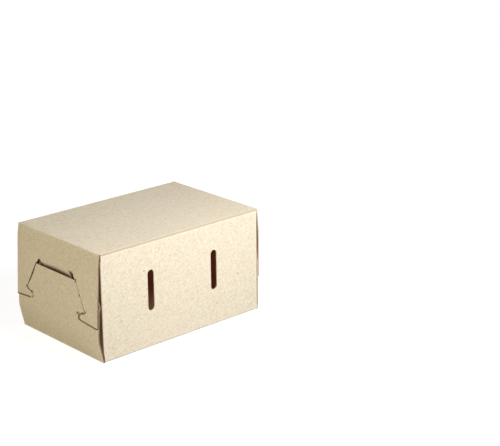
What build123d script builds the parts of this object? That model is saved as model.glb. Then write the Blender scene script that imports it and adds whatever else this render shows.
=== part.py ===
from build123d import *
import os

# A small bird transport box, folded from one die-cut blank of solid board.
# Millimetres. X runs along the box, Y across it and Z up. The origin is the centre of the base.
# The flaps of the -X end bow outwards, and those of the +X end lie nearly flat. All are modelled at the
# -X end, and the flat pair is then mirrored to the +X end.

# Box
length = 125.0  # long side panels, from end crease to end crease
width = 84.0  # over the two long side panels
height = 69.0  # over the top and bottom panels
board = 0.8  # thickness of the board
fold_outside = 1.1  # outer radius of a long crease
glue_flap_depth = 14.0  # flap glued under the top panel along the front edge
glue_flap_end = 3.0  # glue flap stops this far short of the side panel's ends
seam_depth = 0.5  # depth of the open seam under the top panel's cut edge

# Air slots in both long sides
slot_width = 4.9
slot_height = 26.4
slot_spacing = 50.6  # between the middles of the two slots of a side
slot_middle = 37.0  # height of the middle of each slot above the base

# Dust flaps, folded in from the side panels behind the end flaps
dust_reach = 22.0  # from the side panel's outer face
dust_relief = 4.8  # free height above and below a dust flap at its crease
dust_taper = 4.0  # further loss of height at the free edge
dust_corner = 4.0  # radius of the free corners
dust_fold = 1.0  # outer radius of the dust flap's crease

# End flaps
end_lap = 0.4  # the end flaps' crease stands this far outside the side panel's ends
crease_gap = 0.1  # running clearance round a crease that opens
layer_gap = 0.1  # air between a top flap and the bottom flap behind it
side_gap = 0.2  # end flaps are this much narrower than the box, each side

# How far the middle of the top flap's board stands out of the hinge line, at the bowed end
bow_high = 3.4  # at the upper bend
bow_high_z = 53.0
bow_low = 4.4  # near the feet of the top flap
bow_low_z = 23.0
bottom_bend_z = 16.4  # where the bottom flap turns upright
bow_radius = 25.0  # radius of the bends across the end
wing_lean = 1.4  # how far the bottom flap's wings lean inwards at their top

# The flat end, where the flaps rest on the dust flaps
flat_turn = 3.6  # the flaps lean out over this distance from their creases
flat_radius = 10.0

# Hook lock. Lateral values are measured from the middle of the end.
lock_gap = 0.35  # between the tongue and the top flap's cut-out
ear_gap = 0.6  # between an ear of the tongue and the hook below it
tongue_top_z = 48.9
tongue_top_half = 19.6  # half width of the cut-out at the tongue's top edge
ear_half = 30.6  # half width of the cut-out at the ears
ear_z = 30.2  # height of the ear tips
hook_top_z = 28.7  # top of the top flap's hooks, under the ears
hook_tip = 23.5  # lateral place of the innermost point of a hook
hook_end_z = 24.0  # lower edge of a hook at its tip
foot_z = 22.3  # lower edge of the top flap at the side of the box
hook_root = 28.2  # where the ear's lower edge meets the hook
hook_round = 1.9  # radius of the hook's tip
ear_round = 0.6

# Lip of the top flap, tucked behind the tongue's top edge between two teardrop holes
tear_middle = 16.3
tear_width = 5.2
tear_top_z = 52.6
tear_round = 0.7
lip_gap = 0.25  # from a teardrop's inner edge to the lip
lip_bend_z = 53.4  # the lip is bent inwards here, where the board beside it goes on outwards
lip_end_z = 45.6
lip_radius = 8.0
lip_sink = 0.6  # further gap between the tongue's top edge and the lip, at the bowed end

# Tongue of the bottom flap, which comes forward between the hooks into the cut-out
neck_low_z = 21.5  # the tongue leaves the rest of the bottom flap here
neck_high_z = 28.6  # and is level with the top flap here
tongue_radius = 25.0

# Wings of the bottom flap, behind the feet of the top flap
wing_top_z = 42.4
wing_slit = 0.5  # from the tongue's edge to the wing beside it
wing_corner = 9.0  # radius of a wing's outer top corner
wing_inner_corner = 2.0
tab_gap = 0.5  # board left under an ear stops this far below it

# Values that follow from those above
end_plane = length / 2 + end_lap
hinge_x = end_plane - board / 2
top_hinge_z = height - board / 2
bottom_hinge_z = board / 2
flap_half = width / 2 - side_gap
layer_step = board + layer_gap
neck_half = hook_tip - lock_gap
lip_half = tear_middle - tear_width / 2 - lip_gap
tongue_end_z = tongue_top_z - lock_gap
flat_rest = board / 2 + layer_gap  # middle of board that rests on the dust flaps
flat_bow = flat_rest + layer_step


def on_line(first, second, z):
    """Value at height z on the line through two (value, height) points."""
    (low, low_z), (high, high_z) = first, second
    return low + (high - low) * (z - low_z) / (high_z - low_z)


class End:
    """Lines that the flaps of an end follow, as (distance out of the hinge line, height) points."""

    def __init__(self, upper, lower, turn, turn_z, lean, sink, radius):
        self.upper = upper  # top flap, from its crease down to the upper bend
        self.lower = lower  # a lower point of the top flap
        self.turn = turn  # where the bottom flap turns upright
        self.turn_z = turn_z
        self.lean = lean
        self.sink = sink
        self.radius = radius

    def bow(self, z):
        """Top flap below its upper bend."""
        return on_line(self.lower, self.upper[-1], z)

    def slope(self, z):
        """Top flap above its upper bend."""
        return on_line(self.upper[-2], self.upper[-1], z)

    def behind(self, z):
        """Board one layer behind the top flap."""
        return self.bow(z) - layer_step

    def top_line(self):
        under = foot_z - board
        return self.upper + [(self.bow(under), under)]

    def lip_line(self):
        top_z = lip_bend_z + 3 * board
        bend = (self.slope(lip_bend_z), lip_bend_z)
        rest = (self.behind(tongue_end_z) - self.sink, tongue_end_z)
        return [(self.slope(top_z), top_z), bend, (on_line(bend, rest, lip_end_z), lip_end_z)]

    def bottom_line(self):
        line = [(0, bottom_hinge_z), (self.turn, self.turn_z)]
        if self.lean:
            line.append((self.behind(foot_z), foot_z))
        return line + [(self.behind(wing_top_z) - self.lean, wing_top_z + board)]

    def tongue_line(self):
        root_z = neck_low_z - 2.2 * board
        back = [(self.behind(z), z) for z in (root_z, neck_low_z)]
        return back + [(self.bow(z), z) for z in (neck_high_z, tongue_end_z)]


bowed_line = (bow_low, bow_low_z), (bow_high, bow_high_z)
bowed_end = End(
    upper=[(0, top_hinge_z), (bow_high, bow_high_z)],
    lower=(bow_low, bow_low_z),
    turn=on_line(*bowed_line, bottom_bend_z) - layer_step,
    turn_z=bottom_bend_z,
    lean=wing_lean,
    sink=lip_sink,
    radius=bow_radius,
)
flat_end = End(
    upper=[(0, top_hinge_z), (flat_rest, top_hinge_z - flat_turn), (flat_bow, bow_high_z)],
    lower=(flat_bow, bow_low_z),
    turn=flat_rest,
    turn_z=bottom_hinge_z + flat_turn,
    lean=0,
    sink=0,
    radius=flat_radius,
)


def end_sheet(points, radius, half_width):
    """Board that follows a line of (distance out, height) points over the -X end."""
    line = FilletPolyline([(-hinge_x - out, z) for out, z in points], radius=radius)
    return extrude(Plane.XZ * trace(line, board), amount=half_width, both=True)


def crease_bead(z):
    """Rounded board along the crease on which an end flap turns."""
    return Pos(-hinge_x, 0, z) * Rot(90, 0, 0) * Cylinder(board / 2, 2 * flap_half)


def end_cutter(outline):
    """Turns a face drawn in (lateral, height) into a tool that cuts the -X end."""
    return extrude(Plane.YZ * Pos(0, 0, -hinge_x) * outline, amount=4 * bow_low, both=True)


def both_halves(points):
    """Closed face from the right half of an outline that starts and ends on the middle line."""
    left = [(-across, z) for across, z in reversed(points) if across > 0]
    return make_face(Polyline(*points, *left, close=True))


def round_corners(face, spots, radius):
    """Rounds the corners of a face that lie at the given places, on both halves."""
    places = [(sign * across, z) for across, z in spots for sign in (-1, 1)]
    picked = [v for v in face.vertices() if any((v.X - y) ** 2 + (v.Y - z) ** 2 < 1e-6 for y, z in places)]
    return fillet(picked, radius)


# Folded body: four panels round the birds' space, the glue flap and four dust flaps


def panel_ring():
    """Section of the four panels, with the glued seam at the upper front edge."""
    outside = RectangleRounded(width, height, fold_outside)
    inside = RectangleRounded(width - 2 * board, height - 2 * board, fold_outside - board)
    cut_edge = Pos(-width / 2 + fold_outside / 2, height / 2 - board / 2) * Rectangle(fold_outside, board)
    seam_z = height / 2 - board
    front = -width / 2
    seam = make_face(
        Polyline((front, seam_z), (front + seam_depth, seam_z), (front, seam_z - seam_depth), close=True)
    )
    return Pos(0, height / 2) * (outside + cut_edge - inside - seam)


def glue_flap():
    """Flap at the top of the front side panel, glued flat under the top panel."""
    long = length - 2 * glue_flap_end
    middle = Pos(0, -width / 2 + board + glue_flap_depth / 2, height - 1.5 * board)
    flap = middle * Box(long, glue_flap_depth, board)
    free = flap.edges().filter_by(Axis.Z).group_by(Axis.Y)[-1]
    return chamfer(free, glue_flap_depth / 2)


def dust_flap():
    """Dust flap of the front side panel at the -X end."""
    crease_x = -length / 2 + board / 2
    front_y = -width / 2 + board / 2
    bend = dust_fold - board / 2
    run = FilletPolyline(
        (crease_x + 2 * dust_fold, front_y),
        (crease_x, front_y),
        (crease_x, -width / 2 + dust_reach),
        radius=bend,
    )
    strip = extrude(trace(run, board), amount=height)
    root = -width / 2 - 1
    low = dust_relief
    tip = -width / 2 + dust_reach
    outline = make_face(
        Polyline(
            (root, low),
            (root + 4, low),
            (tip, low + dust_taper),
            (tip, height - low - dust_taper),
            (root + 4, height - low),
            (root, height - low),
            close=True,
        )
    )
    outline = fillet(outline.vertices().group_by(Axis.X)[-1], dust_corner)
    return strip & extrude(Plane.YZ * outline, amount=length, both=True)


def crease_room():
    """Room at the -X end for the two flaps: their creases and the board next to them."""
    room = Part()
    clear = board / 2 + crease_gap
    for z, side in ((top_hinge_z, -1), (bottom_hinge_z, 1)):
        room += Pos(-hinge_x, 0, z) * Rot(90, 0, 0) * Cylinder(clear, 2 * width)
        relief = dust_relief - board / 2
        inner = Pos(-hinge_x, 0, z + side * relief / 2) * Box(2 * clear, 2 * width, relief)
        outer = Pos(-hinge_x - clear, 0, z) * Box(2 * clear, 2 * width, 4 * clear)
        room += inner + outer
    return room


def box_body():
    side_end = extrude(Plane.YZ * panel_ring(), amount=hinge_x, both=True)
    beyond = Pos(0, 0, height / 2) * Box(
        2 * end_plane, 2 * width, height - 2 * dust_relief
    ) - Pos(0, 0, height / 2) * Box(length - 2 * dust_fold, 2 * width, height)
    body = side_end - beyond + glue_flap()
    slot = Rot(0, 0, 90) * SlotOverall(slot_height, slot_width)
    for x in (-slot_spacing / 2, slot_spacing / 2):
        body -= extrude(Plane.XZ * Pos(x, slot_middle) * slot, amount=width, both=True)
    flap = dust_flap()
    for corner in (flap, mirror(flap, Plane.XZ)):
        body += corner + mirror(corner, Plane.YZ)
    room = crease_room()
    return body - room - mirror(room, Plane.YZ)


# Top flap: hangs from the top panel, with hooked feet, a cut-out, two teardrops and a lip


def top_flap(end):
    sheet = end_sheet(end.top_line(), end.radius, flap_half)
    tear_in = tear_middle - tear_width / 2
    tear_out = tear_middle + tear_width / 2
    tip_z = (hook_top_z + hook_end_z) / 2
    outline = both_halves(
        [
            (0, height),
            (flap_half + 1, height),
            (flap_half + 1, foot_z),
            (flap_half, foot_z),
            (hook_tip + hook_round, hook_end_z),
            (hook_tip, tip_z),
            (hook_tip + hook_round, hook_top_z),
            (hook_root, hook_top_z),
            (ear_half, ear_z),
            (tongue_top_half, tongue_top_z),
            (tear_out, tongue_top_z),
            (tear_middle, tear_top_z),
            (tear_in, tongue_top_z),
            (lip_half, tongue_top_z),
            (lip_half, lip_bend_z + board),
            (0, lip_bend_z + board),
        ]
    )
    outline = round_corners(outline, [(tear_middle, tear_top_z)], tear_round)
    outline = round_corners(outline, [(ear_half, ear_z)], ear_round)
    outline = round_corners(outline, [(hook_tip, tip_z)], hook_round)
    flap = sheet & end_cutter(outline)
    lip = end_sheet(end.lip_line(), lip_radius, lip_half)
    return flap + lip + crease_bead(top_hinge_z)


# Bottom flap: rises from the bottom panel, with a tongue in front and two wings behind


def tongue_edge(across_gap):
    """Ends of a tongue's slanted edge, moved sideways from the cut-out's edge."""
    return (ear_half + across_gap, ear_z), (tongue_top_half + across_gap, tongue_top_z)


def bottom_flap(end):
    back = end_sheet(end.bottom_line(), end.radius, flap_half)
    ear_under = hook_top_z + ear_gap
    (ear_y, ear_tip_z), (top_y, top_z) = tongue_edge(wing_slit)
    wing_y = ear_y + (top_y - ear_y) * (wing_top_z - ear_tip_z) / (top_z - ear_tip_z)
    outline = both_halves(
        [
            (0, 0),
            (flap_half, 0),
            (flap_half, wing_top_z),
            (wing_y, wing_top_z),
            (ear_y, ear_tip_z),
            (ear_y, ear_under - tab_gap),
            (neck_half, ear_under - tab_gap),
            (neck_half, neck_low_z + board),
            (0, neck_low_z + board),
        ]
    )
    outline = round_corners(outline, [(flap_half, wing_top_z)], wing_corner)
    outline = round_corners(outline, [(wing_y, wing_top_z)], wing_inner_corner)
    tongue = end_sheet(end.tongue_line(), tongue_radius, ear_half)
    (ear_y, ear_tip_z), (top_y, top_z) = tongue_edge(-lock_gap)
    tongue_outline = both_halves(
        [
            (0, neck_low_z - 4 * board),
            (neck_half, neck_low_z - 4 * board),
            (neck_half, ear_under),
            (hook_root, ear_under),
            (ear_y, ear_tip_z),
            (top_y, top_z),
            (0, top_z),
        ]
    )
    tongue_outline = round_corners(tongue_outline, [(ear_y, ear_tip_z)], ear_round)
    return (back & end_cutter(outline)) + (tongue & end_cutter(tongue_outline)) + crease_bead(bottom_hinge_z)


pieces = {
    "box_body": box_body(),
    "top_flap_left": top_flap(bowed_end),
    "bottom_flap_left": bottom_flap(bowed_end),
    "top_flap_right": mirror(top_flap(flat_end), Plane.YZ),
    "bottom_flap_right": mirror(bottom_flap(flat_end), Plane.YZ),
}

os.makedirs("parts", exist_ok=True)
for name, solid in pieces.items():
    export_step(solid, f"parts/{name}.step")
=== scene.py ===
import math

import bmesh
import bpy
from mathutils import Matrix, Vector, noise


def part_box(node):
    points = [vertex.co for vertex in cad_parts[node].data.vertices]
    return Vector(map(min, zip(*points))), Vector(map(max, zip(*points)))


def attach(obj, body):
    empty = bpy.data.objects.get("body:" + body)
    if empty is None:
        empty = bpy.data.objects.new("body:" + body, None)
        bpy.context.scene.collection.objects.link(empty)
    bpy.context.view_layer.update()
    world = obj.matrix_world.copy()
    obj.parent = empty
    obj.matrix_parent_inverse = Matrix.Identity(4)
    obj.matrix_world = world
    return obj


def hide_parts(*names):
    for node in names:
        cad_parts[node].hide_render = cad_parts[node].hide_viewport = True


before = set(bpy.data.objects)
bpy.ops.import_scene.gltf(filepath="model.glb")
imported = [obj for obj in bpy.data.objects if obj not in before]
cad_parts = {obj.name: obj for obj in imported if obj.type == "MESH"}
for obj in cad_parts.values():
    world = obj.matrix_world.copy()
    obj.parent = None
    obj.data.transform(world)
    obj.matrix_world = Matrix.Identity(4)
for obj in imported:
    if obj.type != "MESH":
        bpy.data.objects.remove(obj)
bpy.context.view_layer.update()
mm = 0.001

# A small bird transport box in folded solid board. Lengths in the dictionaries are millimetres,
# apart from those of the stage, the lamps and the camera, which are metres.

cutTolerance = 2e-6  # metres; a cut that passes nearer to a point than this goes through it


# Shader helpers

def addNode(tree, kind, place=(0, 0), **settings):
    node = tree.nodes.new(kind)
    node.location = place
    for name, value in settings.items():
        setattr(node, name, value)
    return node


def newGroup(name, inputs, outputs):
    group = bpy.data.node_groups.new(name, "ShaderNodeTree")
    for label, kind, value in inputs:
        socket = group.interface.new_socket(name=label, in_out="INPUT", socket_type=kind)
        if value is not None:
            socket.default_value = value
    for label, kind in outputs:
        group.interface.new_socket(name=label, in_out="OUTPUT", socket_type=kind)
    return group, addNode(group, "NodeGroupInput", (-900, 0)), addNode(group, "NodeGroupOutput", (900, 0))


def noiseAt(tree, vector, scale, detail, rough, distortion):
    node = addNode(tree, "ShaderNodeTexNoise")
    node.inputs["Scale"].default_value = scale
    node.inputs["Detail"].default_value = detail
    node.inputs["Roughness"].default_value = rough
    node.inputs["Distortion"].default_value = distortion
    tree.links.new(vector, node.inputs["Vector"])
    return node.outputs["Fac"]


def spread(tree, value, low, high, toLow=0.0, toHigh=1.0):
    node = addNode(tree, "ShaderNodeMapRange")
    for label, number in (("From Min", low), ("From Max", high), ("To Min", toLow), ("To Max", toHigh)):
        node.inputs[label].default_value = number
    tree.links.new(value, node.inputs["Value"])
    return node.outputs["Result"]


def calc(tree, operation, first, second):
    node = addNode(tree, "ShaderNodeMath", operation=operation)
    for index, item in enumerate((first, second)):
        if isinstance(item, (int, float)):
            node.inputs[index].default_value = item
        else:
            tree.links.new(item, node.inputs[index])
    return node.outputs[0]


def blendColour(tree, mask, first, second, how="MIX"):
    node = addNode(tree, "ShaderNodeMix", data_type="RGBA", blend_type=how)
    for label, item in (("Factor", mask), ("A", first), ("B", second)):
        socket = next(s for s in node.inputs if s.name == label and (label == "Factor" or s.type == "RGBA"))
        if isinstance(item, (int, float, tuple)):
            socket.default_value = item
        else:
            tree.links.new(item, socket)
    return next(s for s in node.outputs if s.type == "RGBA")


# Board: grey-beige pulp with clouds, clumps, short fibres and a few brown specks

board = {
    "pulp": (0.815, 0.712, 0.545, 1),
    "paleFibre": (0.90, 0.83, 0.70, 1),
    "warmClump": (0.76, 0.60, 0.40, 1),
    "greyFibre": (0.60, 0.49, 0.35, 1),
    "speck": (0.40, 0.26, 0.15, 1),
    "cutEdge": (0.33, 0.215, 0.125, 1),
    # painted shade: the dark cut-edge colour of the left end's flaps
    "paintedShadeEdge": (0.17, 0.092, 0.048, 1),
    "paleEdge": (0.62, 0.48, 0.35, 1),
    "insideShade": (0.72, 0.60, 0.48, 1),  # painted shade: the inner side is darker and browner, for the unlit inside of the box, so its colour is the pulp's times this
    # painted shade: near-black brown laid where shade falls in creases, gaps and under edges
    "paintedShade": (0.11, 0.055, 0.028, 1),
    "innerGlow": (0.020, 0.0052, 0.003, 1),  # stands for light bounced about inside the closed box
    "scuff": (0.90, 0.82, 0.68, 1),
    "scuffCrack": (0.50, 0.36, 0.22, 1),
    "roughness": (0.3, 0.7, 0.82, 0.94),
    "specular": 0.3,
    "bump": 0.35,
    "bumpDepth": 0.12,
}

# A noise is given by its scale, detail, roughness and distortion, and a spread by the two values that it
# takes in and the two that it makes of them.

pulpLook = {
    "clouds": (95, 3, 0.55, 0.0),
    "clumps": (430, 3, 0.6, 0.6),
    "mottle": (820, 2, 0.6, 0.4),
    "grain": (1900, 2, 0.7, 0.0),
    "pale": (1500, 3, 0.62, 1.2),
    "dark": (1150, 3, 0.62, 1.6),
    "fibreStretch": (0.22, 1, 1),  # the pale and dark fibres lie along the first axis
    "layers": [  # a noise, its spread, and the colour that it brings
        ("clouds", (0.30, 0.70, 0.0, 0.22), "paleFibre"),
        ("clumps", (0.44, 0.70, 0.0, 0.50), "warmClump"),
        ("mottle", (0.50, 0.72, 0.0, 0.55), "greyFibre"),
        ("mottle", (0.48, 0.30, 0.0, 0.55), "paleFibre"),
        ("pale", (0.56, 0.72, 0.0, 0.55), "paleFibre"),
        ("dark", (0.60, 0.76, 0.0, 0.50), "greyFibre"),
    ],
    "grainShade": (0.25, 0.75, 0.93, 1.05),
    "specks": [(330, 0.985, 0.12), (95, 0.95, 0.05)],  # cells in a metre, share left plain, size in a cell
    "speckFade": 1.8,
    "speckStrength": 0.85,
    "height": [("grain", 0.35), ("clumps", 0.5), ("pale", 0.35)],
}

# Wear along the folds, and how dark the painted shade gets
wearAndShadeLook = {
    "patchy": (260, 4, 0.65, 0.0),
    "fine": (1400, 3, 0.7, 0.0),
    "rubbed": (0.35, 0.65, 0.25, 0.9),
    "crackedFold": (0.72, 0.98),
    "crackedGrain": (0.5, 0.68),
    "crackStrength": 0.6,
    # painted shade at its darkest
    "paintedShadeStrength": 0.94,
}

edgeLook = {
    "frayed": (3800, 3, 0.75, 0.0),
    "cover": 0.9,
    "fray": (0.5, 0.75, 0.0, 0.18),
    "roughness": (0.3, 0.7, 0.88, 0.98),
    "specular": 0.2,
    "bump": 0.6,
    "bumpDepth": 0.1,
}


def addSpecks(group, where, colour):
    for cellCount, plain, size in pulpLook["specks"]:
        cells = addNode(group, "ShaderNodeTexVoronoi")
        cells.inputs["Scale"].default_value = cellCount
        group.links.new(where, cells.inputs["Vector"])
        pick = addNode(group, "ShaderNodeSeparateColor")
        group.links.new(cells.outputs["Color"], pick.inputs["Color"])
        chosen = calc(group, "GREATER_THAN", pick.outputs[0], plain)
        fade = (size, size * pulpLook["speckFade"], pulpLook["speckStrength"], 0.0)
        spot = spread(group, cells.outputs["Distance"], *fade)
        colour = blendColour(group, calc(group, "MULTIPLY", chosen, spot), colour, board["speck"])
    return colour


def makePulp():
    group, given, made = newGroup(
        "pulp",
        [("Vector", "NodeSocketVector", None)],
        [("Color", "NodeSocketColor"), ("Height", "NodeSocketFloat"), ("Grain", "NodeSocketFloat")],
    )
    where = given.outputs["Vector"]
    stretch = addNode(group, "ShaderNodeMapping")
    stretch.inputs["Scale"].default_value = pulpLook["fibreStretch"]
    group.links.new(where, stretch.inputs["Vector"])
    noises = {}
    for vector, names in (
        (where, ("clouds", "clumps", "mottle", "grain")),
        (stretch.outputs["Vector"], ("pale", "dark")),
    ):
        for name in names:
            noises[name] = noiseAt(group, vector, *pulpLook[name])
    colour = board["pulp"]
    for name, mask, tone in pulpLook["layers"]:
        colour = blendColour(group, spread(group, noises[name], *mask), colour, board[tone])
    toned = addNode(group, "ShaderNodeVectorMath", operation="SCALE")
    group.links.new(colour, toned.inputs[0])
    group.links.new(spread(group, noises["grain"], *pulpLook["grainShade"]), toned.inputs["Scale"])
    colour = addSpecks(group, where, toned.outputs[0])
    height = 0.0
    for name, share in pulpLook["height"]:
        height = calc(group, "ADD", height, calc(group, "MULTIPLY", noises[name], share))
    group.links.new(colour, made.inputs["Color"])
    group.links.new(height, made.inputs["Height"])
    group.links.new(noises["grain"], made.inputs["Grain"])
    return group


# Rubbed patches and cracks along the folds, then painted shade: the colour darkens towards near-black brown
# where shade falls in creases and gaps
def makeWearAndShade():
    group, given, made = newGroup(
        "foldWear",
        [
            ("Color", "NodeSocketColor", None),
            ("Fold", "NodeSocketFloat", 0.0),
            ("PaintedShade", "NodeSocketFloat", 0.0),
            ("Vector", "NodeSocketVector", None),
        ],
        [("Color", "NodeSocketColor"), ("Height", "NodeSocketFloat")],
    )
    look, fold = wearAndShadeLook, given.outputs["Fold"]
    patchy = noiseAt(group, given.outputs["Vector"], *look["patchy"])
    fine = noiseAt(group, given.outputs["Vector"], *look["fine"])
    rubbed = calc(group, "MULTIPLY", fold, spread(group, patchy, *look["rubbed"]))
    crackedFold = spread(group, fold, *look["crackedFold"])
    cracked = calc(group, "MULTIPLY", crackedFold, spread(group, fine, *look["crackedGrain"]))
    crackMask = calc(group, "MULTIPLY", cracked, look["crackStrength"])
    paintedShadeMask = spread(group, given.outputs["PaintedShade"], 0, 1, 0, look["paintedShadeStrength"])
    colour = blendColour(group, rubbed, given.outputs["Color"], board["scuff"])
    colour = blendColour(group, crackMask, colour, board["scuffCrack"])
    colour = blendColour(group, paintedShadeMask, colour, board["paintedShade"])
    group.links.new(colour, made.inputs["Color"])
    group.links.new(calc(group, "MULTIPLY", cracked, -look["crackStrength"]), made.inputs["Height"])
    return group


pulpGroup = makePulp()
wearAndShadeGroup = makeWearAndShade()


def boardMaterial(name, turn, shift, tint=None):
    material = bpy.data.materials.new(name)
    material.use_nodes = True
    tree = material.node_tree
    shader = tree.nodes["Principled BSDF"]
    coords = addNode(tree, "ShaderNodeTexCoord", (-1100, 0))
    mapping = addNode(tree, "ShaderNodeMapping", (-900, 0))
    mapping.inputs["Rotation"].default_value = [math.radians(a) for a in turn]
    mapping.inputs["Location"].default_value = [d * mm for d in shift]
    tree.links.new(coords.outputs["Object"], mapping.inputs["Vector"])
    pulp = addNode(tree, "ShaderNodeGroup", (-650, 0), node_tree=pulpGroup)
    tree.links.new(mapping.outputs["Vector"], pulp.inputs["Vector"])
    fold = addNode(tree, "ShaderNodeAttribute", (-650, -250), attribute_name="fold")
    # painted shade, carried by a vertex attribute
    paintedShade = addNode(tree, "ShaderNodeAttribute", (-650, -450), attribute_name="paintedShade")
    wearAndShade = addNode(tree, "ShaderNodeGroup", (-400, 0), node_tree=wearAndShadeGroup)
    tree.links.new(paintedShade.outputs["Fac"], wearAndShade.inputs["PaintedShade"])
    colour = pulp.outputs["Color"]
    if tint:
        colour = blendColour(tree, 1.0, colour, tint, "MULTIPLY")
    tree.links.new(colour, wearAndShade.inputs["Color"])
    tree.links.new(fold.outputs["Fac"], wearAndShade.inputs["Fold"])
    tree.links.new(mapping.outputs["Vector"], wearAndShade.inputs["Vector"])
    tree.links.new(wearAndShade.outputs["Color"], shader.inputs["Base Color"])
    rough = spread(tree, pulp.outputs["Grain"], *board["roughness"])
    tree.links.new(rough, shader.inputs["Roughness"])
    shader.inputs["Specular IOR Level"].default_value = board["specular"]
    bump = addNode(tree, "ShaderNodeBump", (-200, -300))
    bump.inputs["Strength"].default_value = board["bump"]
    bump.inputs["Distance"].default_value = board["bumpDepth"] * mm
    tree.links.new(calc(tree, "ADD", pulp.outputs["Height"], wearAndShade.outputs["Height"]), bump.inputs["Height"])
    tree.links.new(bump.outputs["Normal"], shader.inputs["Normal"])
    return material


def edgeMaterial(name, cut):
    material = bpy.data.materials.new(name)
    material.use_nodes = True
    tree = material.node_tree
    shader = tree.nodes["Principled BSDF"]
    coords = addNode(tree, "ShaderNodeTexCoord", (-1100, 0))
    pulp = addNode(tree, "ShaderNodeGroup", (-650, 0), node_tree=pulpGroup)
    tree.links.new(coords.outputs["Object"], pulp.inputs["Vector"])
    frayed = noiseAt(tree, coords.outputs["Object"], *edgeLook["frayed"])
    colour = blendColour(tree, edgeLook["cover"], pulp.outputs["Color"], board[cut])
    colour = blendColour(tree, spread(tree, frayed, *edgeLook["fray"]), colour, board["greyFibre"])
    tree.links.new(colour, shader.inputs["Base Color"])
    tree.links.new(spread(tree, frayed, *edgeLook["roughness"]), shader.inputs["Roughness"])
    shader.inputs["Specular IOR Level"].default_value = edgeLook["specular"]
    bump = addNode(tree, "ShaderNodeBump", (-200, -300))
    bump.inputs["Strength"].default_value = edgeLook["bump"]
    bump.inputs["Distance"].default_value = edgeLook["bumpDepth"] * mm
    tree.links.new(frayed, bump.inputs["Height"])
    tree.links.new(bump.outputs["Normal"], shader.inputs["Normal"])
    return material


bodyBoard = boardMaterial("board_body", turn=(0, 0, 0), shift=(0, 0, 0))
leftBoard = boardMaterial("board_left_flaps", turn=(0, 90, 0), shift=(31, 7, 13))
rightBoard = boardMaterial("board_right_flaps", turn=(0, 90, 0), shift=(-57, 23, 41))
# The inner side of the board: painted shade, with a faint painted glow for light bounced about inside
insideShade = boardMaterial("board_inner_side", turn=(0, 0, 90), shift=(11, -29, 3), tint=board["insideShade"])
insideShadeShader = insideShade.node_tree.nodes["Principled BSDF"]
insideShadeShader.inputs["Emission Color"].default_value = board["innerGlow"]
insideShadeShader.inputs["Emission Strength"].default_value = 1.0
rawEdge = edgeMaterial("board_cut_edge", "cutEdge")
# painted shade on the left end's cut edges
paintedShadeEdge = edgeMaterial("board_painted_shade_edge", "paintedShadeEdge")
paleEdge = edgeMaterial("board_pale_edge", "paleEdge")
print("materials made")


# Mesh helpers

onBoard, onRim, onInsideShade, onRaw = range(4)  # places of a piece's materials, the last on the flaps alone


def gridCuts(bm, axis, low, high, spacing):
    count = max(1, round((high - low) / spacing))
    normal = [0, 0, 0]
    normal[axis] = 1
    for index in range(1, count):
        spot = [0, 0, 0]
        spot[axis] = low + (high - low) * index / count
        geom = bm.verts[:] + bm.edges[:] + bm.faces[:]
        bmesh.ops.bisect_plane(bm, geom=geom, plane_co=spot, plane_no=normal, dist=cutTolerance)


def finishPiece(name, bm, materials, body, node):
    mesh = bpy.data.meshes.new(name)
    for face in bm.faces:
        face.smooth = True
    bm.to_mesh(mesh)
    bm.free()
    piece = bpy.data.objects.new(name, mesh)
    bpy.context.scene.collection.objects.link(piece)
    for material in materials:
        mesh.materials.append(material)
    even = piece.modifiers.new("face weights", "WEIGHTED_NORMAL")
    even.weight = 90  # large faces count most
    even.keep_sharp = False
    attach(piece, body)
    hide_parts(node)
    return piece


def markFolds(bm, reachOf):
    layer = bm.verts.layers.float.new("fold")
    for vert in bm.verts:
        vert[layer] = reachOf(vert.co)


def step(value, low, high):
    share = min(1.0, max(0.0, (value - low) / (high - low)))
    return share * share * (3 - 2 * share)


def markPaintedShade(bm, depthOf):
    layer = bm.verts.layers.float.new("paintedShade")
    for vert in bm.verts:
        vert[layer] = depthOf(vert)


def nearness(distance, reach):
    return max(0.0, 1.0 - distance / (reach * mm))


# Body: four panels, glue flap and dust flaps, from the CAD sheet with softened edges and a slight warp

bodyLook = {
    "weld": 0.002,
    "flatTurn": 0.6,
    "sharpTurn": 50,
    "rimHalf": 0.55,  # a cut edge's faces are narrow, with at most this area for each unit of their outline
    "rimSharp": 0.6,  # and at least this share of their outline turns sharply
    "edgeSoftness": 0.1,
    "grid": 2.4,
    "shell": 1.3,  # depth below a panel's face that moves with it
    "warp": 0.32,  # how far the middle of a panel gives way inwards
    "sideWarp": 0.6,  # share of that in the side panels
    "ripple": 0.10,
    "rippleLift": 0.6,
    "rippleLength": 34,
    "panelEdge": 6.0,
    "foldReach": 1.7,
    "foldSides": 4.0,  # wear stays within this of a side panel
    "foldLevels": 2.5,  # or within this of the top and the bottom
    "bottomWear": 0.6,
    "endWear": 0.7,
    # painted shade along the foot of the side panels, where they meet the floor
    "baseShade": 0.35,
    "baseBand": 0.45,
    "baseDepth": 0.5,
    "cornerShade": 0.8,  # painted shade on the dust flaps' folds, where the end flaps hide them from the light
    "cornerTurn": 0.6,
    "cornerReach": 6.0,
    "cornerStart": (0.3, 1.0),
    "cornerFade": (2.0, 8.0),
}


def isCutEdge(face, limit):
    length = sum(edge.calc_length() for edge in face.edges)
    if face.calc_area() / length > bodyLook["rimHalf"] * mm:
        return False
    sharp = sum(
        edge.calc_length()
        for edge in face.edges
        if len(edge.link_faces) == 2 and edge.calc_face_angle(0.0) > limit
    )
    return sharp / length > bodyLook["rimSharp"]


def facesInwards(face, high):
    skin, facing = 0.5 * mm, 0.7
    middle, normal = face.calc_center_median(), face.normal
    if abs(middle.y) < high.y - skin and normal.y * middle.y < 0 and abs(normal.y) > facing:
        return True
    if abs(normal.z) > facing:
        return skin < middle.z < high.z - skin
    return normal.x * middle.x < 0 and abs(normal.x) > facing


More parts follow.
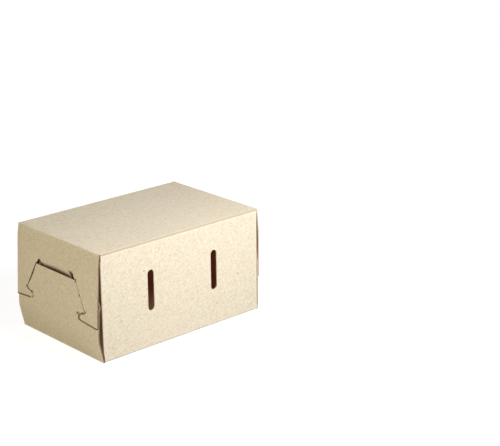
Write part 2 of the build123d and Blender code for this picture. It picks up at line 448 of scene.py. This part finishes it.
def warpPanels(bm, high):
    look = bodyLook
    endX, halfY, top = high
    shell, inset = look["shell"] * mm, look["panelEdge"] * mm

    def panelMask(first, firstHalf, second, secondHalf):
        a = min(1.0, max(0.0, (firstHalf - abs(first)) / inset))
        b = min(1.0, max(0.0, (secondHalf - abs(second)) / inset))
        dome = max(0.0, 1 - (first / firstHalf) ** 2) * max(0.0, 1 - (second / secondHalf) ** 2)
        return dome, a * b

    for vert in bm.verts:
        x, y, z = vert.co
        swell = noise.noise(Vector((x, y, z)) / (look["rippleLength"] * mm))
        ripple = look["ripple"] * (look["rippleLift"] + swell)
        if abs(y) > halfY - shell:
            dome, rim = panelMask(x, endX, z - top / 2, top / 2)
            give = look["warp"] * look["sideWarp"] * dome + rim * ripple
            vert.co.y -= math.copysign(give * mm, y)
        elif z > top - 2 * shell:
            dome, rim = panelMask(x, endX, y, halfY)
            vert.co.z -= (look["warp"] * dome + rim * ripple) * mm


def makeBody():
    look = bodyLook
    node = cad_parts["box_body"]
    low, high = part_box("box_body")
    endX, halfY, top = high
    bm = bmesh.new()
    bm.from_mesh(node.data)
    bmesh.ops.remove_doubles(bm, verts=bm.verts[:], dist=look["weld"] * mm)
    flatTurn = math.radians(look["flatTurn"])
    bmesh.ops.dissolve_limit(bm, angle_limit=flatTurn, verts=bm.verts[:], edges=bm.edges[:])
    sharpTurn = math.radians(look["sharpTurn"])
    for face in bm.faces:
        # faces towards the inside take the painted-shade inner side
        inwards = onInsideShade if facesInwards(face, high) else onBoard
        face.material_index = onRim if isCutEdge(face, sharpTurn) else inwards
    sharp = [e for e in bm.edges if len(e.link_faces) == 2 and e.calc_face_angle(0.0) > sharpTurn]
    bmesh.ops.bevel(
        bm, geom=sharp, offset=look["edgeSoftness"] * mm, offset_type="OFFSET", segments=2,
        profile=0.5, affect="EDGES", clamp_overlap=True, material=-1,
    )
    for axis in range(3):
        gridCuts(bm, axis, low[axis], high[axis], look["grid"] * mm)
    warpPanels(bm, high)

    def foldNear(co):
        reach, level = look["foldReach"], look["foldLevels"] * mm
        side = halfY - abs(co.y)
        fromTop = top - co.z
        near = 0.0
        if side < look["foldSides"] * mm or fromTop < level or co.z < level:
            above = nearness(math.hypot(side, fromTop), reach)
            below = nearness(math.hypot(side, co.z), reach) * look["bottomWear"]
            near = max(above, below)
        end = endX - abs(co.x)
        return max(near, nearness(math.hypot(end, side), reach) * look["endWear"])

    # Painted shade: a dark line along the foot of the side panels, and darkness on the dust flaps' folds in
    # the gap behind the end flaps
    def paintedShadeOnBody(vert):
        x, y, z = vert.co / mm
        side = halfY / mm - abs(y)
        if z < look["baseBand"] and side < look["baseDepth"]:
            return look["baseShade"]
        turned = vert.normal.x * math.copysign(1, x)
        if turned < look["cornerTurn"] or abs(x) < endX / mm - look["cornerReach"]:
            return 0.0
        start, fade = step(side, *look["cornerStart"]), step(side, *look["cornerFade"])
        return look["cornerShade"] * start * (1 - fade)

    bm.normal_update()
    markPaintedShade(bm, paintedShadeOnBody)
    markFolds(bm, foldNear)
    return finishPiece("folded_body", bm, [bodyBoard, paleEdge, insideShade], "box_body", "box_body")


makeBody()
print("body made")


# End flaps: flat outlines cut from board, bowed over the end, then given their thickness

flapLook = {
    "board": 0.8,
    "halfWidth": 41.8,
    "hingeX": 62.5,
    "topHingeZ": 68.6,
    "bottomHingeZ": 0.4,
    "topZ": 69.0,
    "grid": 1.3,
    "sharpTurn": 55,
    "rimShare": 1.3,  # a cut edge's faces are at most this many times a grid step by the board
    "edgeSoftness": 0.1,
    "creaseOuter": 0.38,
    "creaseInner": 0.2,
    "creaseReach": 0.3,
    "creaseBand": 0.5,  # the crease itself has no cut edge
    "foldReach": 1.6,
    "foldWear": 0.8,
    "bendShare": 0.45,  # a bend takes at most this share of the line above it
    "flatHalf": 20.0,  # a flap bows as its middle does this far to each side, and gives way beyond
    "waveStart": (2, 14),
    "waveSize": (26, 21),  # across and up
    "waveSeed": 3.1,
    "lipReach": 2.0,
    "lipSplit": 0.4,  # from this far below the tops of the tears, the lip and the board beside it are parted
    "bellyFade": 1.0,
    "lipBlend": (3.0, 3.1),  # the board beside the lip leaves its line from here to there
    "neckReach": 0.75,  # the tongue's bends are this much tighter than the flap's
    "neckBand": 0.25,  # the board leaves the neck's line for the wing's within this
    "cutSlack": (0.01, 0.05),  # points this near to the neck's and the tongue's edges belong to them
    "curlHalf": 37.0,  # the wings' outer corners curl inwards beyond this
    "curlHeights": (31, 39),
    "shadowBand": 1.1,  # painted shadow: the outer face is dark along the cut edges of the feet, where they stand off the board below
    "paleTip": ((0, 28), (24.3, 28.2)),  # the rim of the far hook's tip keeps the face's colour instead of the rim's, painted light where it faces the light
    "wingCornerRims": (33, 34.5),  # and the rims of the wings' outer corners take the plain cut-edge colour beyond here, painted light on the left end, where they are lighter than the dark rims
    # painted shade on the lip, just above the tongue's top and behind the near tear
    "shadeHalf": 19.0,
    "shadeHeights": (48.2, 51.7),
    "shadeRound": 14,
    "tearShade": (14.0, 14.8),
    "tearShadeHeights": (52.0, 53.2),
}

# Lines up each end as (distance out of the hinge line, height) of the middle of the board

endLook = {
    "left": {
        "side": -1,
        "front": [(4.4, 23.0), (3.4, 53.0), (0.0, 68.6)],
        "frontSide": [(3.75, 23.0), (2.03, 47.7), (1.24, 61.4), (0.0, 68.6)],
        "lip": [(0.9, 45.6), (3.31, 53.0), (0.0, 68.6)],
        "lipBelly": 0.55,
        "back": [(0.0, 0.4), (3.72, 16.4), (3.52, 22.3), (1.45, 43.2)],
        "backSide": [(0.0, 0.4), (3.25, 15.4), (2.8, 22.3), (1.1, 43.2)],
        "neck": [(0.0, 0.4), (3.72, 16.4), (3.55, 22.4), (4.2, 25.4), (4.25, 28.6), (3.55, 48.55)],
        "reach": 3.4,
        "wingCurl": 1.1,
        "tongueShift": -0.22,
        "tongueGive": 0.9,
        "neckShift": 0.2,
        "nearTop": 21.6,
        "nearTear": [(-15.8, 45.6), (-16.8, 51.4), (-17.3, 53.3)],
        "wave": 0.12,
    },
    "right": {
        "side": 1,
        "front": [(1.4, 23.0), (1.4, 53.0), (0.5, 65.0), (0.0, 68.6)],
        "frontSide": [(1.4, 23.0), (1.4, 53.0), (0.5, 65.0), (0.0, 68.6)],
        "lip": [(-0.03, 45.6), (1.37, 53.4), (0.5, 65.0), (0.0, 68.6)],
        "lipBelly": 0.0,
        "back": [(0.0, 0.4), (0.5, 4.0), (0.5, 43.2)],
        "backSide": [(0.0, 0.4), (0.5, 4.0), (0.5, 43.2)],
        "neck": [(0.0, 0.4), (0.5, 4.0), (0.5, 21.5), (1.4, 28.6), (1.4, 48.55)],
        "reach": 0.8,
        "wingCurl": 0.0,
        "tongueShift": 0.0,
        "tongueGive": 0.0,
        "neckShift": 0.0,
        "nearTop": 19.6,
        "nearTear": [(-13.45, 45.6), (-13.7, 48.9), (-16.3, 52.6)],
        "wave": 0.0,
    },
}

lockLook = {
    "tongueTop": (19.6, 48.9),
    "ear": (30.6, 30.2),
    "earRound": 1.0,
    "hookRoot": 28.2,
    "hookTopZ": 28.7,
    "hookTip": 23.5,
    "hookEndZ": 24.0,
    "hookRound": 2.0,
    "tipDepth": 0.35,
    "tipHalf": 0.3,
    "footZ": 22.3,
    "lockGap": 0.35,
    "earGap": 0.6,
    "tearMiddle": 16.3,
    "tearWidth": 5.2,
    "tearTopZ": 52.6,
    "lipGap": 0.25,
    "lipEndZ": 45.6,
    "wingTopZ": 42.4,
    "wingSlit": 0.5,
    "wingCorner": 9.0,
    "tabGap": 0.5,
}


# A line up the end through its points, with each bend rounded over its reach

def softRamp(distance, reach):
    if distance <= -reach:
        return 0.0
    if distance >= reach:
        return distance
    return (distance + reach) ** 2 / (4 * reach)


def lineAt(points, z, reach):
    (out, low), (following, high) = points[0], points[1]
    lean = (following - out) / (high - low)
    value = out + lean * (z - low)
    for (before, bendZ), (after, nextZ) in zip(points[1:], points[2:]):
        turned = (after - before) / (nextZ - bendZ)
        value += (turned - lean) * softRamp(z - bendZ, min(reach, (nextZ - bendZ) * flapLook["bendShare"]))
        lean = turned
    return value


def sideways(end, line, across, z):
    flat = flapLook["flatHalf"]
    middle = lineAt(end[line], z, end["reach"])
    side = lineAt(end[line + "Side"], z, end["reach"])
    return middle + (side - middle) * max(0.0, (abs(across) - flat) / (flapLook["halfWidth"] - flat)) ** 2


def cutOutEdge(end, across, z):
    (topY, topZ), (earY, earZ) = lockLook["tongueTop"], lockLook["ear"]
    topY = end["nearTop"] if across < 0 else topY
    return topY + (earY - topY) * (topZ - z) / (topZ - earZ)


def topFlapBow(end, across, z):
    look, bend = lockLook, flapLook
    lipHalf, apex = look["tearMiddle"] - look["tearWidth"] / 2 - look["lipGap"], look["tearMiddle"]
    if across < 0:
        lipHalf, apex = -end["nearTear"][0][0], -end["nearTear"][2][0]
    front = sideways(end, "front", across, z)
    lip = lineAt(end["lip"], z, min(bend["lipReach"], end["reach"]))
    behind = 1 - step(z, look["tongueTop"][1], look["tearTopZ"] + bend["bellyFade"])
    lip -= end["lipBelly"] * behind * (1 - (across / lipHalf) ** 2)
    if z < look["tearTopZ"] - bend["lipSplit"]:
        return lip if abs(across) < apex else front
    inner, outer = bend["lipBlend"]
    return lip + (front - lip) * step(abs(across), lipHalf - inner, apex + outer)


def bottomFlapBow(end, across, z):
    look, curl = lockLook, flapLook["curlHalf"]
    back = sideways(end, "back", across, z)
    outwards = max(0.0, (abs(across) - curl) / (flapLook["halfWidth"] - curl))
    back -= end["wingCurl"] * step(z, *flapLook["curlHeights"]) * outwards ** 2
    front = lineAt(end["neck"], z, end["reach"] * flapLook["neckReach"])
    slack, tongueSlack = flapLook["cutSlack"]
    if z < look["hookTopZ"] + look["earGap"] - slack:
        return back if abs(across - end["neckShift"]) > look["hookTip"] - look["lockGap"] + slack else front
    edge = cutOutEdge(end, across, z) + tongueSlack
    return back if abs(across - end["tongueShift"]) > edge else front


def bothHalves(half):
    return half + [(-across, z) for across, z in reversed(half) if across > 0]


def topOutline(end):
    look = lockLook
    width, (topY, topZ), (earY, earZ) = flapLook["halfWidth"], look["tongueTop"], look["ear"]
    tearIn = look["tearMiddle"] - look["tearWidth"] / 2
    tipZ = (look["hookTopZ"] + look["hookEndZ"]) / 2
    half = [
        (0, flapLook["topZ"]),
        (width, flapLook["topZ"]),
        (width, look["footZ"]),
        (look["hookTip"] + look["hookRound"], look["hookEndZ"]),
        (look["hookTip"], tipZ),
        (look["hookTip"] + look["hookRound"], look["hookTopZ"]),
        (look["hookRoot"], look["hookTopZ"]),
        (earY, earZ),
        (topY, topZ),
        (look["tearMiddle"] + look["tearWidth"] / 2, topZ),
        (look["tearMiddle"], look["tearTopZ"]),
        (tearIn, topZ),
        (tearIn - look["lipGap"], look["lipEndZ"]),
        (0, look["lipEndZ"]),
    ]
    points = bothHalves(half)
    # The lip's corner, the tear and the cut-out's top on the near side are the end's own
    points[14:17] = end["nearTear"]
    points[17:19] = [(-end["nearTop"] + 0.7, topZ), (-end["nearTop"], topZ)]
    rounds = {4: look["hookRound"], 3: 0.9, 5: 0.9, 7: look["earRound"], 8: 0.4, 10: 1.0, 2: 0.8, 12: 0.6}
    return points, rounds


def bottomOutline(end):
    look = lockLook
    width, (topY, topZ), (earY, earZ) = flapLook["halfWidth"], look["tongueTop"], look["ear"]
    slit, gap = look["wingSlit"], look["lockGap"]
    earUnder = look["hookTopZ"] + look["earGap"]
    neck = look["hookTip"] - gap
    half = [
        (0, 0),
        (width, 0),
        (width, look["wingTopZ"]),
        (cutOutEdge(end, 1, look["wingTopZ"]) + slit, look["wingTopZ"]),
        (earY + slit, earZ),
        (earY + slit, earUnder - look["tabGap"]),
        (neck, earUnder - look["tabGap"]),
        (neck, earUnder),
        (look["hookRoot"], earUnder),
        (earY - gap, earZ),
        ((earY + topY) / 2 - gap, (earZ + topZ) / 2),
        (topY - gap, topZ - gap),
        (0, topZ - gap),
    ]
    points = bothHalves(half)
    # The tongue's far side gives way, its near side follows the cut-out, and both stand a little aside
    points[10] = (points[10][0] - end["tongueGive"], points[10][1])
    near = end["nearTop"] - gap
    points[13:15] = [(-near, topZ - gap), (-(earY + end["nearTop"]) / 2 + gap, (earZ + topZ) / 2)]
    shifts = {index: end["tongueShift"] for index in range(8, len(points) - 7)}
    for index in (6, 7, len(points) - 7, len(points) - 6):
        shifts[index] = end["neckShift"]
    points = [(y + shifts.get(index, 0), z) for index, (y, z) in enumerate(points)]
    return points, {2: look["wingCorner"], 3: 1.5, 9: look["earRound"] * 0.8, 11: 0.6}


def cutOutline(points, rounds):
    bm = bmesh.new()
    ring = [bm.verts.new((0, across * mm, z * mm)) for across, z in points]
    bm.faces.new(ring)
    bm.normal_update()
    count = len(points)
    for index, radius in rounds.items():
        for spot in (index, count - index):
            here = Vector(points[spot % count])
            before = (Vector(points[(spot - 1) % count]) - here).normalized()
            after = (Vector(points[(spot + 1) % count]) - here).normalized()
            reach = radius / math.tan(before.angle(after) / 2)
            vert = min(bm.verts, key=lambda v: (Vector((v.co.y, v.co.z)) / mm - here).length)
            bmesh.ops.bevel(
                bm, geom=[vert], offset=reach * mm, offset_type="OFFSET",
                segments=max(3, round(radius * 1.5)),
                profile=0.5, affect="VERTICES", clamp_overlap=True, material=-1,
            )
    return bm


# Lines along the feet's lower edges and round the near hook's tip, beside which the outer face is dark:
# painted shadow where the flap stands off the board below

def shadowBands():
    look = lockLook
    side, root = flapLook["halfWidth"], look["hookTip"] + look["hookRound"]
    tip = look["hookTip"] + look["tipDepth"]
    low, high = look["hookEndZ"], look["hookTopZ"]
    middle, halfTip = (low + high) / 2, look["tipHalf"]
    corners = [
        [(side, look["footZ"]), (root, low)],
        [(-side, look["footZ"]), (-root, low)],
        [(-root, low), (-tip, middle - halfTip)],
        [(-tip, middle + halfTip), (-root, high)],
    ]
    return [tuple(Vector((0, y, z)) for y, z in pair) for pair in corners]


def distanceTo(point, start, stop):
    along = stop - start
    flat = Vector((0, point.y, point.z))
    share = min(1.0, max(0.0, (flat - start).dot(along) / along.length_squared))
    return (flat - start - along * share).length


def cutFlap(end, outline, bands, cuts):
    look = flapLook
    points, rounds = outline(end)
    bm = cutOutline(points, rounds)
    for axis in (1, 2):
        places = [v.co[axis] for v in bm.verts]
        gridCuts(bm, axis, min(places), max(places), look["grid"] * mm)
    footOut = (lockLook["hookTip"] + look["halfWidth"]) / 2
    footZ = (lockLook["hookEndZ"] + lockLook["hookTopZ"]) / 2
    for start, stop in bands:
        along = (stop - start).normalized()
        inwards = Vector((0, -along.z, along.y))
        footMiddle = Vector((0, math.copysign(footOut, start.y), footZ))
        if inwards.dot(footMiddle - start) < 0:
            inwards = -inwards
        geom = bm.verts[:] + bm.edges[:] + bm.faces[:]
        place = (start + inwards * look["shadowBand"]) * mm
        bmesh.ops.bisect_plane(bm, geom=geom, plane_co=place, plane_no=inwards, dist=cutTolerance)
    # Faces within a band's width of its line are marked for the painted shadow
    for face in bm.faces:
        middle = face.calc_center_median() / mm
        inShadowBand = any(distanceTo(middle, *band) < look["shadowBand"] for band in bands)
        face.material_index = onRaw if inShadowBand else onBoard
    for across in cuts:
        geom = bm.verts[:] + bm.edges[:] + bm.faces[:]
        place = (0, across * mm, 0)
        bmesh.ops.bisect_plane(bm, geom=geom, plane_co=place, plane_no=(0, 1, 0), dist=cutTolerance)
    return bm


def bowFlap(bm, end, bowOf, hingeZ, creaseZ):
    look, side = flapLook, end["side"]
    waveAcross, waveUp = look["waveSize"]
    for vert in bm.verts:
        across, z = vert.co.y / mm, vert.co.z / mm
        beyond = (z - hingeZ) * (creaseZ - hingeZ) > 0
        free = step(abs(z - hingeZ), *look["waveStart"])
        spot = Vector((side * look["waveSeed"], across / waveAcross, z / waveUp))
        out = 0 if beyond else bowOf(end, across, z) + end["wave"] * free * noise.noise(spot)
        vert.co.x = side * (look["hingeX"] + out) * mm
    bm.normal_update()
    if sum(f.normal.x * side * f.calc_area() for f in bm.faces) < 0:
        bmesh.ops.reverse_faces(bm, faces=bm.faces[:])
        bm.normal_update()


def thickenFlap(bm):
    thickness = flapLook["board"]
    for vert in bm.verts:
        vert.co += vert.normal * thickness / 2 * mm
    bmesh.ops.solidify(bm, geom=bm.faces[:], thickness=thickness * mm)
    bm.normal_update()


def chooseFlapFaces(bm, side, isTop):
    look = flapLook
    sharpTurn = math.radians(look["sharpTurn"])
    rimArea = look["rimShare"] * look["board"] * look["grid"] * mm * mm
    (tipIn, tipOut), (tipLow, tipHigh) = look["paleTip"]
    wingOut, wingUp = look["wingCornerRims"]
    for face in bm.faces:
        turned = [e for e in face.edges if len(e.link_faces) == 2 and e.calc_face_angle(0.0) > sharpTurn]
        isRim = len(turned) >= 2 and face.calc_area() < rimArea
        inwards = face.normal.x * side < 0
        across, z = face.calc_center_median().yz / mm
        # the far hook tip's rim keeps the face's colour: painted light
        if isRim and isTop and tipIn < across < tipOut and tipLow < z < tipHigh:
            face.material_index = onBoard
        # the wings' outer corners get the plain cut-edge colour, painted light on the left end
        elif isRim and not isTop and z > wingUp and abs(across) > wingOut:
            face.material_index = onRaw
        # the marked band faces on the outer face take the rim's colour: painted shadow
        elif isRim or (face.material_index == onRaw and not inwards):
            face.material_index = onRim
        else:
            # faces towards the body take the painted-shade inner side
            face.material_index = onInsideShade if inwards else onBoard


def softenFlap(bm, side, creaseZ):
    look = flapLook
    sharpTurn = math.radians(look["sharpTurn"])
    sharp = [e for e in bm.edges if len(e.link_faces) == 2 and e.calc_face_angle(0.0) > sharpTurn]
    crease = [e for e in sharp if all(abs(v.co.z / mm - creaseZ) < look["creaseReach"] for v in e.verts)]
    crease = [e for e in crease if abs((e.verts[0].co - e.verts[1].co).normalized().y) > 0.9]
    outer = [e for e in crease if e.verts[0].co.x * side > look["hingeX"] * mm]
    inner = [e for e in crease if e.verts[0].co.x * side <= look["hingeX"] * mm]
    rest = [e for e in sharp if e not in set(crease)]
    for edges, offset, segments in (
        (rest, look["edgeSoftness"], 2),
        (outer, look["creaseOuter"], 5),
        (inner, look["creaseInner"], 3),
    ):
        bmesh.ops.bevel(
            bm, geom=[e for e in edges if e.is_valid], offset=offset * mm, offset_type="OFFSET",
            segments=segments, profile=0.5, affect="EDGES", clamp_overlap=True, material=-1,
        )


def makeFlap(node, end, outline, bowOf, hingeZ, creaseZ, cuts):
    look, side = flapLook, end["side"]
    isTop = creaseZ > hingeZ
    bm = cutFlap(end, outline, shadowBands() if isTop else [], cuts)
    bowFlap(bm, end, bowOf, hingeZ, creaseZ)
    thickenFlap(bm)
    chooseFlapFaces(bm, side, isTop)
    softenFlap(bm, side, creaseZ)
    low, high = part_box(node)
    for vert in bm.verts:
        vert.co = [min(max(value, least), most) for value, least, most in zip(vert.co, low, high)]
    for face in bm.faces:
        if all(abs(v.co.z / mm - creaseZ) < look["creaseBand"] for v in face.verts):
            face.material_index = onBoard
    markFolds(bm, lambda co: nearness(abs(co.z - creaseZ * mm), look["foldReach"]) * look["foldWear"])
    bm.normal_update()

    # Painted shade on the top flap's outer face: dark just above the tongue's top, fading upwards, and on
    # the lip behind the near tear
    def shadeBehindTongue(vert):
        across, z = vert.co.y / mm, vert.co.z / mm
        if not isTop or abs(across) > look["shadeHalf"] or vert.normal.x * side < 0:
            return 0.0
        start, full = look["tearShade"]
        if across < -start:
            return step(-across, start, full) * (1 - step(z, *look["tearShadeHeights"]))
        shadeLow, shadeTop = look["shadeHeights"]
        return 1 - step(z, shadeLow, shadeTop - (across / look["shadeRound"]) ** 2)

    markPaintedShade(bm, shadeBehindTongue)
    return bm


def buildFlaps():
    neck = lockLook["hookTip"] - lockLook["lockGap"]
    # The left end's flaps have dark rims, painted shade; the right end's have pale ones
    for endName, material, rim in (("left", leftBoard, paintedShadeEdge), ("right", rightBoard, paleEdge)):
        end = endLook[endName]
        neckEdges = (neck, neck + flapLook["neckBand"])
        neckCuts = [sign * y + end["neckShift"] for sign in (-1, 1) for y in neckEdges]
        for part, outline, bowOf, hingeZ, creaseZ, cuts in (
            ("top_flap", topOutline, topFlapBow, flapLook["topHingeZ"], flapLook["topZ"], []),
            ("bottom_flap", bottomOutline, bottomFlapBow, flapLook["bottomHingeZ"], 0.0, neckCuts),
        ):
            node = part + "_" + endName
            bm = makeFlap(node, end, outline, bowOf, hingeZ, creaseZ, cuts)
            finishPiece("folded_" + node, bm, [material, rim, insideShade, rawEdge], node, node)
            print(node, "made")


buildFlaps()


# Floor, backdrop, light and camera

stageLook = {
    "floorSize": 6.0,
    "floorDrop": 0.00002,
    "floorShade": 0.35,
    "floorLift": 0.88,  # added for rays from the camera, so that the floor reads as white paper
    "floorFade": (0.16, 0.30),  # beyond this distance the floor is plain white
    "worldColour": (1.0, 0.95, 0.86, 1),
    "worldStrength": 0.02,
}


def seenDirectly(tree):
    path = addNode(tree, "ShaderNodeLightPath", (-700, 0))
    seen = calc(tree, "MAXIMUM", path.outputs["Is Camera Ray"], path.outputs["Is Glossy Ray"])
    return calc(tree, "MAXIMUM", seen, path.outputs["Is Transmission Ray"])


def makeFloor():
    bm = bmesh.new()
    bmesh.ops.create_grid(bm, x_segments=1, y_segments=1, size=stageLook["floorSize"] / 2)
    bmesh.ops.translate(bm, verts=bm.verts[:], vec=(0, 0, -stageLook["floorDrop"]))
    mesh = bpy.data.meshes.new("floor")
    bm.to_mesh(mesh)
    bm.free()
    floor = bpy.data.objects.new("floor", mesh)
    bpy.context.scene.collection.objects.link(floor)
    material = bpy.data.materials.new("white_floor")
    material.use_nodes = True
    tree = material.node_tree
    tree.nodes.clear()
    diffuse = addNode(tree, "ShaderNodeBsdfDiffuse", (-300, 100))
    diffuse.inputs["Color"].default_value = (stageLook["floorShade"],) * 3 + (1,)
    glow = addNode(tree, "ShaderNodeEmission", (-300, -100))
    seen = seenDirectly(tree)
    coords = addNode(tree, "ShaderNodeTexCoord", (-1100, -300))
    length = addNode(tree, "ShaderNodeVectorMath", (-900, -300), operation="LENGTH")
    tree.links.new(coords.outputs["Object"], length.inputs[0])
    near, far = stageLook["floorFade"]
    lift = spread(tree, length.outputs["Value"], near, far, stageLook["floorLift"], 1.0)
    tree.links.new(calc(tree, "MULTIPLY", seen, lift), glow.inputs["Strength"])
    both = addNode(tree, "ShaderNodeAddShader", (-100, 0))
    tree.links.new(diffuse.outputs[0], both.inputs[0])
    tree.links.new(glow.outputs[0], both.inputs[1])
    out = addNode(tree, "ShaderNodeOutputMaterial", (100, 0))
    tree.links.new(both.outputs[0], out.inputs["Surface"])
    mesh.materials.append(material)


def makeWorld():
    world = bpy.data.worlds.new("studio")
    world.use_nodes = True
    tree = world.node_tree
    back = tree.nodes["Background"]
    seen = seenDirectly(tree)
    colour = blendColour(tree, seen, stageLook["worldColour"], (1, 1, 1, 1))
    tree.links.new(colour, back.inputs["Color"])
    tree.links.new(spread(tree, seen, 0, 1, stageLook["worldStrength"], 1.0), back.inputs["Strength"])
    bpy.context.scene.world = world


lampLook = {
    "key": {"place": (0.06, -0.34, 0.30), "size": 0.16, "watts": 1.98, "colour": (0.96, 0.98, 1.0)},
    "overhead": {"place": (0.05, -0.20, 0.34), "size": 0.16, "watts": 0.12, "colour": (0.97, 0.98, 1.0)},
    "end": {"place": (-0.60, -0.10, 0.20), "size": 0.30, "watts": 1.786, "colour": (1.0, 0.925, 0.713)},
    "fill": {"place": (0.62, 0.62, 0.12), "size": 0.30, "watts": 3.5, "colour": (1.0, 0.97, 0.92)},
}


def makeLamps():
    aim = Vector((0, 0, 35 * mm))
    for name, look in lampLook.items():
        light = bpy.data.lights.new(name, "AREA")
        light.shape = "DISK"
        light.size = look["size"]
        light.energy = look["watts"]
        light.color = look["colour"]
        lamp = bpy.data.objects.new(name, light)
        bpy.context.scene.collection.objects.link(lamp)
        lamp.location = look["place"]
        lamp.rotation_euler = (aim - lamp.location).to_track_quat("-Z", "Y").to_euler()


cameraLook = {
    "place": (-0.5164, -0.6658, 0.3471),
    "heading": -42.56,
    "tilt": 18.68,
    "roll": -0.45,
    "focalPixels": 1400.0,
    "imageWidth": 500,
    "sensor": 36.0,
}


def makeCamera():
    look = cameraLook
    data = bpy.data.cameras.new("camera")
    data.sensor_width = look["sensor"]
    data.lens = look["focalPixels"] / look["imageWidth"] * look["sensor"]
    data.clip_start = 0.01
    camera = bpy.data.objects.new("camera", data)
    bpy.context.scene.collection.objects.link(camera)
    turn = Matrix.Rotation(math.radians(look["heading"]), 4, "Z")
    tilt = Matrix.Rotation(math.radians(90 - look["tilt"]), 4, "X")
    roll = Matrix.Rotation(math.radians(look["roll"]), 4, "Z")
    camera.matrix_world = Matrix.Translation(look["place"]) @ turn @ tilt @ roll
    bpy.context.scene.camera = camera


makeFloor()
makeWorld()
makeLamps()
makeCamera()
bpy.context.scene.view_settings.view_transform = "Standard"
print("stage, light and camera made")
